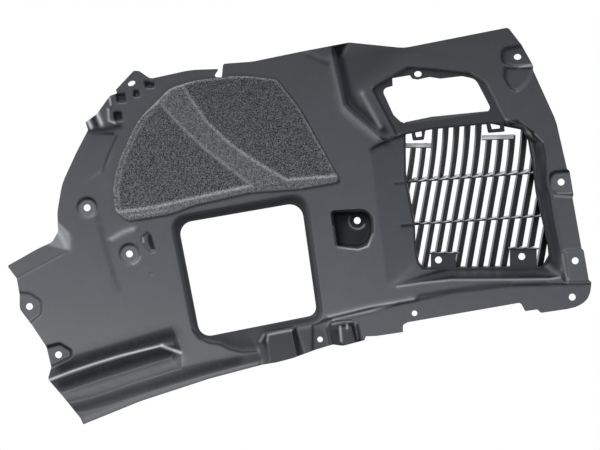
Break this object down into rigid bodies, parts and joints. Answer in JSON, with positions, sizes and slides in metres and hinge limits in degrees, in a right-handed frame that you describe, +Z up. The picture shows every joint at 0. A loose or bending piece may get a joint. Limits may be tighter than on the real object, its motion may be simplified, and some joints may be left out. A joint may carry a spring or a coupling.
{
  "type": "wheel arch liner",
  "caption": "Moulded wheel arch liner section with a louvred air vent, a rectangular window, screw pads and a bonded felt pad.",
  "frame": {"origin": "centre of the datum screw hole, on the wheel face of its pocket's floor", "axes": "+X along the axle towards the vent, +Y away from the wheel, +Z up"},
  "size_m": [0.6835, 0.1789, 0.464],
  "materials": {
    "plastic": "satin moulded black",
    "felt": "grey needled felt"
  },
  "bodies": {
    "root": {"liner_shell": "plastic", "felt_pad": "felt"}
  },
  "joints": []
}
